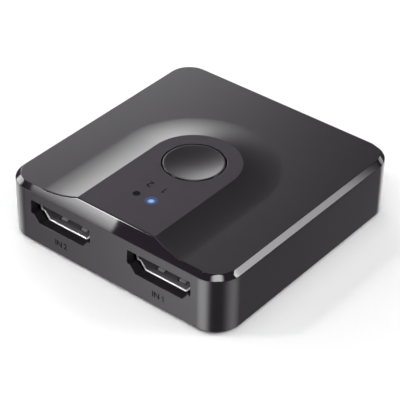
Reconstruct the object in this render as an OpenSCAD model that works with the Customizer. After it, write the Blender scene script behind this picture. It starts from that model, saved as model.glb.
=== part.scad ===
// Two-input video switch box: a moulded housing with a raised pad and a dished push button,
// two receptacles in the front wall, one in the rear wall, and a board that carries them all.
// The front, with the inputs, faces -Y. Z is zero under the rubber feet.

/* [Body] */
// Width of the housing, side to side
body_w = 56; // [54:0.5:70]
// Depth of the housing, input side to output side
body_d = 57.6; // [54:0.2:72]
// Height from the underside to the flat of the top
body_h = 13.4; // [12.8:0.1:17]
// Radius of the four upright corners
corner_r = 5.9; // [4.5:0.1:7]
// Bevel along the top edge
bevel = 1.1; // [0.6:0.1:1.6]
// Thickness of the side walls
wall = 2; // [1.6:0.1:2.4]
// Thickness of the roof
roof = 1.8; // [1.4:0.1:2.2]

/* [Raised pad] */
// Height of the pad above the flat of the top
pad_rise = 1.15; // [0.6:0.05:1.6]
// Width of the pad
pad_w = 19.8; // [18.6:0.2:23]
// Width of the hollow slope that leads up to the pad
cove_w = 9.1; // [6:0.1:11]
// Thickness of the pad's own wall, left beside the pocket under it
pad_wall = 1.6; // [1.2:0.1:1.8]

/* [Push button] */
// Diameter of the button
button_d = 12.8; // [10.6:0.1:13]
// Gap between the button and its bore
button_gap = 0.3; // [0.2:0.05:0.4]
// Distance of the button's middle from the front of the housing
button_setback = 26.25; // [24:0.25:32]
// How far the button travels
button_travel = 0.35; // [0.25:0.05:0.5]
// Depth of the dish in the button
dish_depth = 0.8; // [0.4:0.1:1.2]
// Bevel on the button's upper edge
edge_cut = 0.12; // [0.08:0.02:0.2]
// Width of the rim round the dish
rim_w = 0.35; // [0.25:0.05:0.6]
// Thickness of the button below the dish
button_floor = 1; // [0.8:0.1:1.4]
// Thickness of the button's skirt
skirt_t = 1.2; // [0.9:0.1:1.4]
// How far the button's flange reaches past the bore
flange_lip = 0.8; // [0.5:0.1:1]
// Thickness of that flange
flange_t = 0.7; // [0.5:0.1:0.9]
// Diameter of the stem that meets the key
stem_d = 3; // [2.4:0.1:4]
// Wall of the collar that guides the button
collar_t = 1; // [0.8:0.1:1.2]
// How far the collar hangs below the inside of the roof
collar_drop = 0.4; // [0.2:0.1:0.8]

/* [Lights] */
// Diameter of a light pipe where it shows
light_d = 1.45; // [1:0.05:1.8]
// Distance between the two light pipes
light_pitch = 3.76; // [3.4:0.02:4.6]
// Distance of the light pipes from the front of the housing
light_setback = 10.7; // [9:0.1:13]
// How far a light pipe's end lies below the pad
light_sink = 0.1; // [0.05:0.05:0.3]
// Diameter of a light pipe below its shoulder
light_stem_d = 1.1; // [0.8:0.05:1.2]
// How far the shoulder of a light pipe stands out
light_shoulder = 0.4; // [0.3:0.05:0.6]
// Height of that shoulder
shoulder_h = 1; // [0.6:0.1:1.6]

/* [Ports] */
// Inside width of a receptacle
port_w = 14; // [13.8:0.05:14.4]
// Inside height of a receptacle
port_h = 4.55; // [4.5:0.05:4.8]
// Width that the lower side of a receptacle loses at each end
notch_w = 2.05; // [1.8:0.05:2.3]
// Height of that narrowing
notch_h = 1.65; // [1.5:0.05:1.8]
// Flat step at the top of that narrowing
notch_step = 0.75; // [0.5:0.05:0.9]
// Height of a receptacle's middle above the underside of the housing
port_level = 7.8; // [7.5:0.1:8.2]
// Distance of an input's middle from the side of the housing
port_inset = 15.3; // [15.1:0.1:17]
// Length of a receptacle's shell
shell_len = 11.2; // [10.5:0.1:12.5]
// Thickness of the shell's steel
shell_t = 0.4; // [0.3:0.05:0.5]
// Width of the opening in the housing
mouth_w = 15.7; // [15.2:0.1:16.4]
// Height of the opening in the housing
mouth_h = 5; // [4.9:0.05:5.4]
// Length of the insulator's block at the back of the shell
block_len = 3.2; // [2.6:0.1:4]
// Width of the tongue that carries the contacts
tongue_w = 10.4; // [10:0.1:10.8]
// Thickness of that tongue
tongue_t = 1.1; // [0.9:0.05:1.3]
// How far the tongue lies behind the shell's rim
tongue_set = 1.4; // [1:0.1:2.4]
// Number of contacts on top of the tongue
contacts_top = 10; // [8:1:10]
// Number of contacts under the tongue
contacts_under = 9; // [7:1:9]
// Distance from one contact to the next in a row
contact_pitch = 1; // [0.9:0.02:1.02]
// Width of a contact
contact_w = 0.3; // [0.2:0.02:0.36]
// Thickness of a contact
contact_t = 0.15; // [0.1:0.01:0.2]
// Width of a spring finger in the shell
finger_w = 1.5; // [1.2:0.1:1.8]
// Length of a spring finger
finger_len = 4.2; // [3.4:0.1:4.8]
// Slot round a spring finger
finger_slot = 0.45; // [0.3:0.05:0.6]
// Distance between the two fingers of a side
finger_pitch = 5.4; // [4.6:0.1:6]
// How far a finger's crest is bent inwards
finger_bend = 0.3; // [0.2:0.05:0.45]
// Length of the slope from a finger's crest to its tip
finger_lead = 1.2; // [0.9:0.1:1.5]
// Width of a leg that is soldered into the board
leg_w = 1.2; // [0.9:0.1:1.5]
// How far a leg reaches below the board
leg_tip = 0.8; // [0.5:0.1:1]
// Distance of the front legs from the shell's rim
leg_front = 2.2; // [1.6:0.1:3]
// Distance of the rear legs from the shell's rear end
leg_rear = 3; // [2:0.1:4]
// Height of the tongue's middle above the receptacle's middle
tongue_lift = 0.2; // [0:0.05:0.3]
// Bare length at the front of the tongue
blade_set = 0.7; // [0.4:0.1:1]
// Distance of the lower contacts' risers behind the shell
tail_near = 0.35; // [0.25:0.05:0.45]
// Distance of the upper contacts' risers behind the shell
tail_far = 0.75; // [0.6:0.05:1]
// Length of a contact's foot on the board
tail_foot = 0.9; // [0.7:0.1:1.2]
// Distance of a finger's window from the shell's rim
finger_set = 1.3; // [1:0.1:1.8]
// Radius of the receptacle's corners
port_corner_r = 0.25; // [0.15:0.05:0.35]

/* [Board] */
// Thickness of the circuit board
board_t = 1.6; // [1:0.1:1.8]
// Gap between the board and the walls
board_gap = 0.4; // [0.3:0.05:0.8]
// Distance of the two board screws behind the middle of the box
board_screw_y = 3; // [-4:0.5:8]
// Side of the video switch chip
chip_w = 7; // [6:0.5:9]
// Thickness of that chip
chip_t = 0.9; // [0.7:0.05:1.2]
// Length of the control chip
control_l = 4.9; // [4.4:0.1:6]
// Width of the control chip
control_w = 3.9; // [3.4:0.1:4.6]
// Thickness of the control chip
control_t = 1.4; // [1:0.1:1.8]
// Length of the regulator
regulator_l = 6.5; // [5.5:0.1:7]
// Width of the regulator
regulator_w = 3.5; // [3:0.1:4]
// Thickness of the regulator
regulator_t = 1.6; // [1.2:0.1:1.9]

/* [Key under the button] */
// Side of the key
key_w = 6; // [5.6:0.1:6.4]
// Height of the key to the top of its metal cover
key_h = 3.5; // [3.2:0.1:3.8]
// Height of the key to the top of its plunger
key_reach = 5; // [4.7:0.1:5.4]
// Diameter of the plunger
plunger_d = 3.4; // [3:0.1:3.6]
// Thickness of the metal cover
key_cover_t = 0.25; // [0.2:0.05:0.35]
// Diameter of the well that holds the dome
well_d = 4.6; // [4.4:0.1:4.8]
// Thickness of the key's floor
key_floor = 1; // [0.8:0.1:1.2]
// Height that the snap dome keeps when it is pressed down
dome_flat = 0.15; // [0.12:0.01:0.3]
// Thickness of the snap dome
dome_t = 0.1; // [0.06:0.01:0.14]
// Gap between the dome and the wall of its well
dome_gap = 0.2; // [0.1:0.05:0.3]
// Thickness of the plunger's flange
plunger_flange_t = 0.9; // [0.6:0.1:1]
// Gap between that flange and the wall of the well
plunger_gap = 0.1; // [0.06:0.02:0.16]
// Diameter of the nub under the plunger
nub_d = 1.4; // [1:0.1:2]
// Diameter of the rivets that hold the metal cover
rivet_d = 0.7; // [0.5:0.05:0.8]
// Height of a rivet's head
rivet_h = 0.15; // [0.1:0.05:0.25]
// Distance of a rivet from the key's sides
rivet_edge = 0.65; // [0.55:0.05:0.7]
// Width of the metal cover's clips
clip_w = 3; // [2:0.1:4]
// How far a clip reaches down
clip_h = 1.75; // [1.2:0.05:2.2]
// Thickness of a terminal
terminal_t = 0.2; // [0.15:0.05:0.3]
// Width of a terminal
terminal_w = 0.7; // [0.5:0.1:1]
// Height of a terminal
terminal_h = 1; // [0.8:0.1:1.4]
// Length of a terminal's foot
terminal_l = 1.2; // [0.9:0.1:1.6]

/* [Small parts on the board] */
// Length of a lamp
lamp_l = 1.6; // [1:0.1:2]
// Width of a lamp
lamp_w = 0.8; // [0.5:0.05:1.25]
// Height of a lamp
lamp_h = 0.6; // [0.4:0.05:0.8]
// Thickness of a lamp's base
lamp_base_h = 0.25; // [0.2:0.05:0.35]
// Length of a lamp's lens
lamp_lens_l = 1.1; // [0.8:0.05:1.2]
// Distance of the video switch chip to the left of the middle
chip_left = 12.5; // [11:0.5:13]
// Distance of the video switch chip behind the middle
chip_back = 2; // [0:0.5:4]
// Number of pads on a side of that chip
chip_pads = 12; // [8:1:12]
// Distance from one pad to the next
chip_pad_pitch = 0.5; // [0.4:0.01:0.5]
// Size of a pad
chip_pad = 0.26; // [0.18:0.02:0.3]
// Distance of the control chip and the regulator to the right of the middle
control_right = 12.5; // [11:0.5:14]
// Distance of the control chip in front of the middle
control_ahead = 4; // [3:0.5:5]
// Distance of the regulator behind the middle
regulator_back = 6.5; // [5:0.5:9]
// Height of a chip's underside above the board
chip_seat = 0.1; // [0.05:0.05:0.2]
// Width of a lead
lead_w = 0.42; // [0.3:0.02:0.6]
// Thickness of a lead
lead_t = 0.18; // [0.12:0.02:0.24]
// How far a lead reaches out
lead_run = 1.05; // [0.8:0.05:1.3]
// Distance from one lead to the next on the control chip
lead_pitch = 1.27; // [1:0.01:1.27]
// Distance from one lead to the next on the regulator
regulator_pitch = 2.3; // [1.8:0.1:2.5]
// Width of the regulator's tab
regulator_tab = 3; // [2.6:0.1:4]
// Length of a surge array
array_l = 2.5; // [2:0.1:3]
// Width of a surge array
array_w = 1; // [0.8:0.1:1.4]
// Thickness of a surge array
array_t = 0.5; // [0.4:0.05:0.8]
// Distance between the two surge arrays of a port
array_pitch = 5; // [4:0.1:6]
// Distance of a surge array behind the contacts' feet
array_back = 1.4; // [1:0.1:2]
// Length of a small capacitor
cap_l = 1; // [0.8:0.1:1.6]
// Width of a small capacitor
cap_w = 0.5; // [0.4:0.05:0.8]
// Height of a small capacitor
cap_t = 0.5; // [0.4:0.05:0.8]
// Gap between the chip and the small capacitors round it
cap_gap = 0.9; // [0.6:0.1:1.2]
// Distance between two small capacitors on a side of the chip
cap_span = 2.4; // [2:0.1:3]
// Length of a large capacitor
bulk_l = 2; // [1.6:0.1:2.4]
// Width of a large capacitor
bulk_w = 1.25; // [1:0.05:1.4]
// Height of a large capacitor
bulk_t = 1; // [0.8:0.1:1.4]
// Gap between the regulator and a large capacitor
bulk_gap = 1; // [0.6:0.1:1.2]
// Length of a resistor
res_l = 1; // [0.8:0.1:1.6]
// Width of a resistor
res_w = 0.5; // [0.4:0.05:0.8]
// Height of a resistor
res_t = 0.35; // [0.25:0.05:0.5]
// Distance from one resistor to the next
res_pitch = 1.1; // [1:0.1:1.6]
// Gap between a resistor and the lamp or the leads beside it
res_gap = 0.9; // [0.6:0.1:1.4]

/* [Bottom cover, feet and screws] */
// Thickness of the bottom cover
cover_t = 1.6; // [1.3:0.1:2]
// Diameter of a foot
foot_d = 8; // [6:0.5:9]
// How far a foot stands below the housing
foot_proud = 0.8; // [0.5:0.1:1.6]
// Depth of a foot's recess in the cover
foot_recess = 0.5; // [0.3:0.1:0.7]
// Distance of a foot's middle from the side, front or back
foot_inset = 10.5; // [10:0.5:13]
// Diameter of the posts under the board
post_d = 3; // [2:0.2:4]
// Diameter of a screw boss
boss_d = 4.6; // [4:0.1:4.8]
// Distance of a boss's middle from the inside of the walls
boss_inset = 3.2; // [3:0.1:3.4]
// Diameter of a screw's shank
screw_d = 1.6; // [1.4:0.1:2]
// Diameter of a countersunk head
head_d = 3.8; // [3.4:0.1:4.2]
// Depth of a countersunk head
head_h = 1.1; // [0.8:0.1:1.2]
// Length of a cover screw
cover_screw_l = 7.5; // [6:0.5:8.5]
// Diameter of a board screw's head
pan_d = 3.4; // [3:0.1:3.8]
// Height of a board screw's head
pan_h = 1.1; // [0.8:0.1:1.2]
// Length of a board screw below its head
board_screw_l = 5.6; // [4.5:0.1:6.2]
// Slot width of the cross in a screw's head
cross_w = 0.5; // [0.4:0.05:0.6]
// Length of that cross
cross_l = 2.2; // [1.8:0.1:2.6]
// Depth of that cross
cross_depth = 0.7; // [0.5:0.1:0.8]
// Depth of a pilot hole past its screw
pilot_spare = 1; // [0.5:0.1:1.2]
// Thickness of the rib between a boss and the wall
rib_t = 0.9; // [0.7:0.1:1.2]

/* [Clearances] */
// Gap round the bottom cover
cover_fit = 0.15; // [0.1:0.05:0.3]
// Gap between a shell's rim and the wall
rim_fit = 0.2; // [0.1:0.05:0.4]
// Gap round a screw in its boss, and round a contact in its channel
close_fit = 0.04; // [0.02:0.01:0.08]
// Gap round a leg, a boss or a shank where it passes through a plate
pass_fit = 0.3; // [0.2:0.05:0.4]
// Gap between parts that only rest against each other and move
touch_play = 0.04; // [0.02:0.01:0.08]
// Gap between a light pipe and the lamp under it
lamp_gap = 0.25; // [0.15:0.05:0.4]
// Overlap that makes two shapes of one piece a single solid
sink = 0.2; // [0.1:0.05:0.3]

/* [Hidden] */
$fn = 96;
cove_fn = 360;
arc_steps = 5;

// Levels
floor_z = foot_proud;
cover_z = floor_z + cover_t;
top_z = floor_z + body_h;
bevel_z = top_z - bevel;
pad_z = top_z + pad_rise;
roof_z = top_z - roof;
pocket_z = pad_z - roof;
port_z = floor_z + port_level;
board_z = port_z - port_h / 2 - shell_t;
under_z = board_z - board_t;
key_z = board_z + key_reach;
collar_z = roof_z - collar_drop;

// Places on the plan
front_y = -body_d / 2;
rear_y = body_d / 2;
button_y = front_y + button_setback;
light_y = front_y + light_setback;
port_x = body_w / 2 - port_inset;
rim_front_y = front_y + wall + rim_fit;
rim_rear_y = rear_y - wall - rim_fit;
boss_x = body_w / 2 - wall - boss_inset;
boss_y = body_d / 2 - wall - boss_inset;
foot_x = body_w / 2 - foot_inset;
foot_y = body_d / 2 - foot_inset;
corners = [[-1, -1], [1, -1], [-1, 1], [1, 1]];
sides = [-1, 1];

// Raised pad and its cove
pad_r = pad_w / 2;
pocket_r = pad_r - pad_wall;
cove_dip = 0.01;
cove_drop = pad_rise + cove_dip;
cove_r = (cove_w * cove_w + cove_drop * cove_drop) / (2 * cove_drop);
spare = 1;
slope_h = bevel + pad_rise + spare;

// Button
button_r = button_d / 2;
bore_r = button_r + button_gap;
dish_a = button_r - rim_w;
dish_r = (dish_a * dish_a + dish_depth * dish_depth) / (2 * dish_depth);
flange_z = collar_z - touch_play;
button_under = pad_z - dish_depth - button_floor;

// Receptacles
tongue_top = tongue_lift + tongue_t / 2;
tongue_under = tongue_lift - tongue_t / 2;
tail_end = shell_len + tail_far + tail_foot;
leg_places = [leg_front, shell_len - leg_rear];
port_board = -port_h / 2 - shell_t;

// Key
rivet_at = key_w / 2 - rivet_edge;
dome_h = button_travel + dome_flat;
dome_r = let (half = well_d / 2 - dome_gap) (half * half + dome_h * dome_h) / (2 * dome_h);
plunger_flange_z = key_h - key_cover_t - touch_play;
plunger_low = plunger_flange_z - plunger_flange_t;

// Places of the chips
chip_place = [-chip_left, chip_back];
control_place = [control_right, -control_ahead];
regulator_place = [control_right, regulator_back];

// Screws
pilot_r = screw_d / 2 + close_fit;
pass_r = screw_d / 2 + pass_fit;

// Outlines

function unit(v) = v / norm(v);

function turned(v, a) = [v.x * cos(a) - v.y * sin(a), v.x * sin(a) + v.y * cos(a)];

function normal_of(a, b) = let (d = unit(b - a)) [d.y, -d.x];

// Moves every side of a counterclockwise outline outwards by g
function grown(p, g) = let (n = len(p)) [
    for (i = [0 : n - 1])
        let (u = normal_of(p[(i + n - 1) % n], p[i]), v = normal_of(p[i], p[(i + 1) % n]))
        p[i] + g * (u + v) / (1 + u * v)
];

// Points of the arc of radius r that rounds the corner b between a and c
function corner_arc(a, b, c, r) =
    let (
        u = unit(a - b),
        v = unit(c - b),
        half = acos(u * v) / 2,
        middle = b + unit(u + v) * r / sin(half),
        start = b + u * r / tan(half) - middle,
        end = b + v * r / tan(half) - middle,
        turn = (180 - 2 * half) * sign(cross(start, end))
    )
    [for (i = [0 : arc_steps]) middle + turned(start, turn * i / arc_steps)];

function rounded(p, r) = let (n = len(p)) [
    for (i = [0 : n - 1]) each corner_arc(p[(i + n - 1) % n], p[i], p[(i + 1) % n], r)
];

// Half of a receptacle's outline, from the lower corner up to the upper one, on the side s
function port_side(w, h, s) = [
    [s * (w / 2 - notch_w), -h / 2],
    [s * (w / 2 - notch_step), -h / 2 + notch_h],
    [s * w / 2, -h / 2 + notch_h],
    [s * w / 2, h / 2]
];

function port_corners(w, h) =
    let (right = port_side(w, h, 1), left = port_side(w, h, -1))
    concat(right, [for (i = [3 : -1 : 0]) left[i]]);

module port_outline(w, h, g) {
    polygon(rounded(grown(port_corners(w, h), g), port_corner_r));
}

module rounded_rect(w, d, r) {
    square([w - 2 * r, d], center = true);
    square([w, d - 2 * r], center = true);
    for (c = corners)
        translate([c.x * (w / 2 - r), c.y * (d / 2 - r)])
            circle(r = r);
}

// Extrudes an outline drawn in X and Z along Y, between two places
module along_y(from, to) {
    translate([0, to, 0])
        rotate([90, 0, 0])
            linear_extrude(to - from)
                children();
}

// A block with its X and Y centred on a place and its Z between two levels
module block_at(place, size, low, high) {
    translate([place.x - size.x / 2, place.y - size.y / 2, low])
        cube([size.x, size.y, high - low]);
}

module cylinder_between(d, low, high) {
    translate([0, 0, low])
        cylinder(d = d, h = high - low);
}

// Housing

// Section of a wall-to-wall run with the bevel carried on upwards
module bevel_section(half) {
    polygon([
        [-half, floor_z], [half, floor_z], [half, bevel_z],
        [half - slope_h, bevel_z + slope_h], [slope_h - half, bevel_z + slope_h], [-half, bevel_z]
    ]);
}

module bevelled_block() {
    straight_x = body_w / 2 - corner_r;
    straight_y = body_d / 2 - corner_r;
    along_y(-straight_y, straight_y)
        bevel_section(body_w / 2);
    rotate([0, 0, 90])
        along_y(-straight_x, straight_x)
            bevel_section(body_d / 2);
    for (c = corners)
        translate([c.x * straight_x, c.y * straight_y, 0])
            rotate_extrude()
                polygon([
                    [0, floor_z], [corner_r, floor_z], [corner_r, bevel_z],
                    [corner_r - slope_h, bevel_z + slope_h], [0, bevel_z + slope_h]
                ]);
}

// One side of the pad's section: flat, then a hollow slope down to the top
module pad_half_section() {
    difference() {
        translate([0, floor_z])
            square([pad_r + cove_w, pad_z - floor_z]);
        translate([pad_r + cove_w, pad_z - cove_drop + cove_r])
            circle(r = cove_r, $fn = cove_fn);
    }
}

module raised_pad() {
    translate([0, button_y, 0]) {
        rotate_extrude(angle = 180)
            pad_half_section();
        along_y(front_y - button_y - spare, 0) {
            pad_half_section();
            mirror([1, 0])
                pad_half_section();
        }
    }
}

module pad_plan(r) {
    translate([0, button_y])
        circle(r = r);
    translate([-r, front_y + wall])
        square([2 * r, button_y - front_y - wall]);
}

module port_mouths() {
    for (s = sides)
        translate([s * port_x, 0, port_z])
            along_y(front_y - spare, front_y + wall + spare)
                port_outline(mouth_w, mouth_h, 0);
    translate([0, 0, port_z])
        along_y(rear_y - wall - spare, rear_y + spare)
            port_outline(mouth_w, mouth_h, 0);
}

// A boss that hangs from the roof down to a level, with a rib to the side wall
module roof_boss(place, low) {
    rib_l = boss_inset + sink;
    translate([place.x, place.y, 0]) {
        cylinder_between(boss_d, low, roof_z + sink);
        block_at([sign(place.x) * rib_l / 2, 0], [rib_l, rib_t], low, roof_z + sink);
    }
}

module upper_housing() {
    color("#2b2a2c")
        difference() {
            union() {
                difference() {
                    intersection() {
                        bevelled_block();
                        union() {
                            block_at([0, 0], [2 * body_w, 2 * body_d], floor_z, top_z);
                            raised_pad();
                        }
                    }
                    translate([0, 0, floor_z - spare])
                        linear_extrude(roof_z - floor_z + spare)
                            rounded_rect(body_w - 2 * wall, body_d - 2 * wall, corner_r - wall);
                    translate([0, 0, roof_z - sink])
                        linear_extrude(pocket_z - roof_z + sink)
                            pad_plan(pocket_r);
                    port_mouths();
                }
                for (c = corners)
                    roof_boss([c.x * boss_x, c.y * boss_y], cover_z);
                for (s = sides)
                    roof_boss([s * boss_x, board_screw_y], board_z);
                translate([0, button_y, collar_z])
                    cylinder(r = bore_r + collar_t, h = pocket_z - collar_z + sink);
            }
            translate([0, button_y, collar_z - spare])
                cylinder(r = bore_r, h = pad_z - collar_z + 2 * spare);
            for (s = sides)
                translate([s * light_pitch / 2, light_y, roof_z])
                    cylinder(d = light_d + 2 * close_fit, h = pad_z - roof_z + spare);
            for (c = corners)
                translate([c.x * boss_x, c.y * boss_y, cover_z - spare])
                    cylinder(r = pilot_r, h = cover_screw_l - cover_t + pilot_spare + spare);
            for (s = sides)
                translate([s * boss_x, board_screw_y, board_z - spare])
                    cylinder(r = pilot_r, h = board_screw_l - board_t + pilot_spare + spare);
        }
}

// Bottom cover, its screws and its feet

module post_at(place) {
    translate([place.x, place.y, cover_z - sink])
        cylinder(d = post_d, h = under_z - cover_z + sink);
}

module bottom_cover() {
    color("#262527")
        difference() {
            union() {
                translate([0, 0, floor_z])
                    linear_extrude(cover_t)
                        rounded_rect(
                            body_w - 2 * (wall + cover_fit),
                            body_d - 2 * (wall + cover_fit),
                            corner_r - wall - cover_fit
                        );
                for (s = sides)
                    post_at([s * port_x, rim_front_y + shell_len / 2]);
                post_at([0, rim_rear_y - shell_len / 2]);
                post_at([0, button_y]);
            }
            for (c = corners) {
                translate([c.x * boss_x, c.y * boss_y, floor_z - spare])
                    cylinder(r = pass_r, h = cover_t + 2 * spare);
                translate([c.x * boss_x, c.y * boss_y, floor_z])
                    cylinder(r1 = head_d / 2 + close_fit, r2 = screw_d / 2 + close_fit, h = head_h);
                translate([c.x * foot_x, c.y * foot_y, floor_z - spare])
                    cylinder(d = foot_d + 2 * cover_fit, h = foot_recess + spare);
            }
        }
}

module cross_slot(depth) {
    for (a = [0, 90])
        rotate([0, 0, a])
            translate([-cross_l / 2, -cross_w / 2, -spare])
                cube([cross_l, cross_w, depth + spare]);
}

module cover_screws() {
    color("#8d8f92")
        for (c = corners)
            translate([c.x * boss_x, c.y * boss_y, floor_z])
                difference() {
                    union() {
                        cylinder(d1 = head_d, d2 = screw_d, h = head_h);
                        cylinder(d = screw_d, h = cover_screw_l);
                    }
                    cross_slot(cross_depth);
                }
}

module rubber_feet() {
    color("#1b1a1b")
        for (c = corners)
            translate([c.x * foot_x, c.y * foot_y, 0])
                rotate_extrude()
                    polygon([
                        [0, 0], [foot_d / 2 - foot_proud / 2, 0], [foot_d / 2, foot_proud / 2],
                        [foot_d / 2, foot_proud + foot_recess], [0, foot_proud + foot_recess]
                    ]);
}

// Push button

module push_button() {
    color("#2f2d30")
        translate([0, button_y, 0]) {
            difference() {
                union() {
                    rotate_extrude()
                        polygon([
                            [0, flange_z - flange_t], [button_r, flange_z - flange_t],
                            [button_r, pad_z - edge_cut], [button_r - edge_cut, pad_z], [0, pad_z]
                        ]);
                    translate([0, 0, flange_z - flange_t])
                        cylinder(r = bore_r + flange_lip, h = flange_t);
                }
                translate([0, 0, pad_z - dish_depth + dish_r])
                    sphere(r = dish_r, $fn = cove_fn);
                translate([0, 0, flange_z - flange_t - spare])
                    cylinder(r = button_r - skirt_t, h = button_under - flange_z + flange_t + spare);
            }
            translate([0, 0, key_z + touch_play])
                cylinder(d = stem_d, h = button_under + sink - key_z - touch_play);
        }
}

// Lights

module light_pipe(s) {
    pipe_low = board_z + lamp_h + lamp_gap;
    translate([s * light_pitch / 2, light_y, 0]) {
        cylinder_between(light_stem_d, pipe_low, pocket_z);
        cylinder_between(light_d + 2 * light_shoulder, pocket_z - shoulder_h, pocket_z);
        cylinder_between(light_d, pocket_z - sink, pad_z - light_sink);
    }
}

module light_pipe_1() {
    color("#7fd0f2")
        light_pipe(1);
}

module light_pipe_2() {
    color("#3a3a3d")
        light_pipe(-1);
}

module lamp(s) {
    place = [s * light_pitch / 2, light_y];
    block_at(place, [lamp_w, lamp_l], board_z, board_z + lamp_base_h);
    block_at(place, [lamp_w, lamp_lens_l], board_z + lamp_base_h / 2, board_z + lamp_h);
}

module lamp_1() {
    color("#dfe9ee")
        lamp(1);
}

module lamp_2() {
    color("#dfe9ee")
        lamp(-1);
}

// Receptacles, drawn with the rim at Y = 0, the mouth towards -Y and the middle at Z = 0

module at_input(s) {
    translate([s * port_x, rim_front_y, port_z])
        children();
}

module at_output() {
    translate([0, rim_rear_y, port_z])
        rotate([0, 0, 180])
            children();
}

// Window round a spring finger, in the wall on the side v
module finger_window(x, v) {
    middle = v * (port_h + shell_t) / 2;
    block_at(
        [x, finger_set + finger_len / 2], [finger_w + 2 * finger_slot, finger_len],
        middle - shell_t / 2 - sink, middle + shell_t / 2 + sink
    );
}

module spring_finger(x, v) {
    low = port_h / 2;
    high = port_h / 2 + shell_t;
    tip = finger_set + finger_slot;
    crest = tip + finger_lead;
    root = finger_set + finger_len;
    translate([x + finger_w / 2, 0, 0])
        rotate([90, 0, -90])
            linear_extrude(finger_w)
                polygon([
                    [-root - sink, v * low], [-root - sink, v * high], [-root, v * high],
                    [-crest, v * (high - finger_bend)], [-tip, v * high], [-tip, v * low],
                    [-crest, v * (low - finger_bend)], [-root, v * low]
                ]);
}

module port_leg(y, s) {
    leg_top = port_h / 2 - 2 * port_corner_r;
    block_at([s * (port_w + shell_t) / 2, y], [shell_t, leg_w], port_board - board_t - leg_tip, leg_top);
}

module port_shell() {
    difference() {
        along_y(0, shell_len)
            port_outline(port_w, port_h, shell_t);
        along_y(-spare, shell_len + spare)
            port_outline(port_w, port_h, 0);
        for (x = sides, v = sides)
            finger_window(x * finger_pitch / 2, v);
    }
    for (x = sides, v = sides)
        spring_finger(x * finger_pitch / 2, v);
    for (y = leg_places, s = sides)
        port_leg(y, s);
}

// One contact: a blade along the tongue, a riser behind the block and a foot on the board
module contact(x, low, tail) {
    behind = shell_len + tail;
    translate([x - contact_w / 2, tongue_set + blade_set, low])
        cube([contact_w, behind - tongue_set - blade_set, contact_t]);
    translate([x - contact_w / 2, behind - contact_t, port_board])
        cube([contact_w, contact_t, low + contact_t - port_board]);
    translate([x - contact_w / 2, behind - contact_t, port_board])
        cube([contact_w, tail_foot, contact_t]);
}

function row_x(i, n) = (i - (n - 1) / 2) * contact_pitch;

module port_contacts() {
    for (i = [0 : contacts_top - 1])
        contact(row_x(i, contacts_top), tongue_top, tail_far);
    for (i = [0 : contacts_under - 1])
        contact(row_x(i, contacts_under), tongue_under - contact_t, tail_near);
}

module contact_channel(x, low) {
    translate([x - contact_w / 2 - close_fit, shell_len - block_len - sink, low - close_fit])
        cube([contact_w + 2 * close_fit, block_len + 2 * sink, contact_t + 2 * close_fit]);
}

module port_insulator() {
    difference() {
        union() {
            along_y(shell_len - block_len, shell_len)
                port_outline(port_w, port_h, -close_fit);
            translate([-tongue_w / 2, tongue_set, tongue_under])
                cube([tongue_w, shell_len - block_len - tongue_set + sink, tongue_t]);
        }
        for (i = [0 : contacts_top - 1])
            contact_channel(row_x(i, contacts_top), tongue_top);
        for (i = [0 : contacts_under - 1])
            contact_channel(row_x(i, contacts_under), tongue_under - contact_t);
    }
}

module input_1_shell() {
    color("#c9cacc")
        at_input(1)
            port_shell();
}

module input_1_insulator() {
    color("#161617")
        at_input(1)
            port_insulator();
}

module input_1_contacts() {
    color("#c8a951")
        at_input(1)
            port_contacts();
}

module input_2_shell() {
    color("#c9cacc")
        at_input(-1)
            port_shell();
}

module input_2_insulator() {
    color("#161617")
        at_input(-1)
            port_insulator();
}

module input_2_contacts() {
    color("#c8a951")
        at_input(-1)
            port_contacts();
}

module output_shell() {
    color("#c9cacc")
        at_output()
            port_shell();
}

module output_insulator() {
    color("#161617")
        at_output()
            port_insulator();
}

module output_contacts() {
    color("#c8a951")
        at_output()
            port_contacts();
}

// Circuit board and the screws that hold it

module leg_slots() {
    for (y = leg_places, s = sides)
        block_at(
            [s * (port_w + shell_t) / 2, y], [shell_t + pass_fit, leg_w + pass_fit],
            port_board - board_t - spare, port_board + spare
        );
}

// Corner of the board that is cut away round a boss, out to both edges
module boss_notch(c) {
    low = under_z - spare;
    high = board_z + spare;
    notch = boss_d + 2 * pass_fit;
    translate([c.x * boss_x, c.y * boss_y, 0]) {
        cylinder_between(notch, low, high);
        block_at([c.x * boss_inset, 0], [2 * boss_inset, notch], low, high);
        block_at([0, c.y * boss_inset], [notch, 2 * boss_inset], low, high);
    }
}

module circuit_board() {
    color("#1e5a37")
        difference() {
            translate([0, 0, under_z])
                linear_extrude(board_t)
                    rounded_rect(
                        body_w - 2 * (wall + board_gap),
                        body_d - 2 * (wall + board_gap),
                        corner_r - wall - board_gap
                    );
            for (c = corners)
                boss_notch(c);
            for (s = sides) {
                translate([s * boss_x, board_screw_y, under_z - spare])
                    cylinder(r = pass_r, h = board_t + 2 * spare);
                at_input(s)
                    leg_slots();
            }
            at_output()
                leg_slots();
        }
}

module board_screws() {
    color("#b9bbbe")
        for (s = sides)
            translate([s * boss_x, board_screw_y, under_z - pan_h])
                difference() {
                    union() {
                        cylinder(d = pan_d, h = pan_h);
                        cylinder(d = screw_d, h = pan_h + board_screw_l);
                    }
                    cross_slot(cross_depth);
                }
}

// Key under the button

module at_key() {
    translate([0, button_y, board_z])
        children();
}

module at_rivets() {
    for (c = corners)
        translate([c.x * rivet_at, c.y * rivet_at, 0])
            children();
}

module key_base() {
    color("#202022")
        at_key() {
            difference() {
                block_at([0, 0], [key_w, key_w], 0, key_h - key_cover_t);
                translate([0, 0, key_floor])
                    cylinder(d = well_d, h = key_h);
            }
            at_rivets()
                translate([0, 0, key_h - key_cover_t - sink])
                    cylinder(d = rivet_d, h = key_cover_t + rivet_h + sink);
        }
}

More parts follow.
